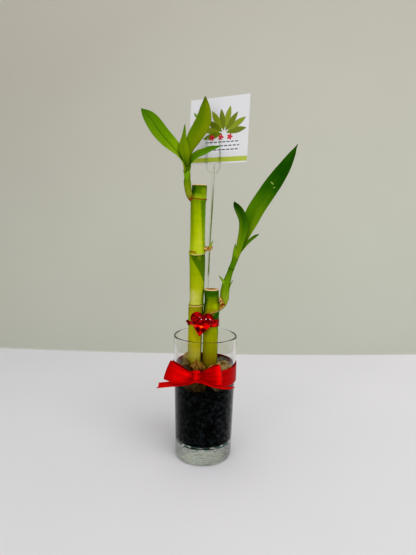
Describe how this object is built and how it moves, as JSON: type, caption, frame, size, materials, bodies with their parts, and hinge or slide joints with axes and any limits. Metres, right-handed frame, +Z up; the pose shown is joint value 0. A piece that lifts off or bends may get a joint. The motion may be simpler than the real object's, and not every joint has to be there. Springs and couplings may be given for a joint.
{
  "type": "lucky bamboo plant in a glass tumbler",
  "caption": "Cut dracaena canes with leafy side shoots, standing in black gravel and pebbles in a glass tumbler with a ribbon bow, a heart charm and a card on a pick.",
  "frame": {"origin": "centre of the tumbler's flat underside, on the surface it stands on", "axes": "+Z up along the tumbler's axis, +X to the viewer's right, +Y away from the viewer; the bow is on the -Y side"},
  "size_m": [0.1295, 0.0704, 0.317],
  "materials": {
    "glass": "gloss",
    "gravel": "satin",
    "pebble": "satin",
    "cane": "satin",
    "shoot": "satin",
    "leaf": "satin",
    "satin": "satin",
    "strap": "gloss",
    "acrylic": "gloss",
    "card": "matte",
    "clear_plastic": "gloss"
  },
  "bodies": {
    "root": {"glass": "glass", "gravel": "gravel", "pebble_left_back": "pebble", "pebble_left_front": "pebble", "pebble_front": "pebble", "pebble_front_mid": "pebble", "pebble_right": "pebble", "pebble_right_back": "pebble", "pebble_right_edge": "pebble", "pebble_back": "pebble", "pebble_back_left": "pebble", "pebble_left_edge": "pebble", "pebble_mid_left": "pebble", "pebble_mid_right": "pebble", "pebble_low_front": "pebble", "pebble_low_mid": "pebble", "pebble_low_right": "pebble", "tall_cane": "cane", "short_cane": "cane", "tall_shoot_stem": "shoot", "short_shoot_stem": "shoot", "side_bud": "shoot", "leaf_left": "leaf", "leaf_upright": "leaf", "leaf_small_right": "leaf", "leaf_furled": "leaf", "leaf_big": "leaf", "leaf_small_left": "leaf", "leaf_spur": "leaf", "ribbon": "satin", "charm_band": "strap", "heart_charm": "acrylic", "card": "card", "card_pick": "clear_plastic"}
  },
  "joints": []
}
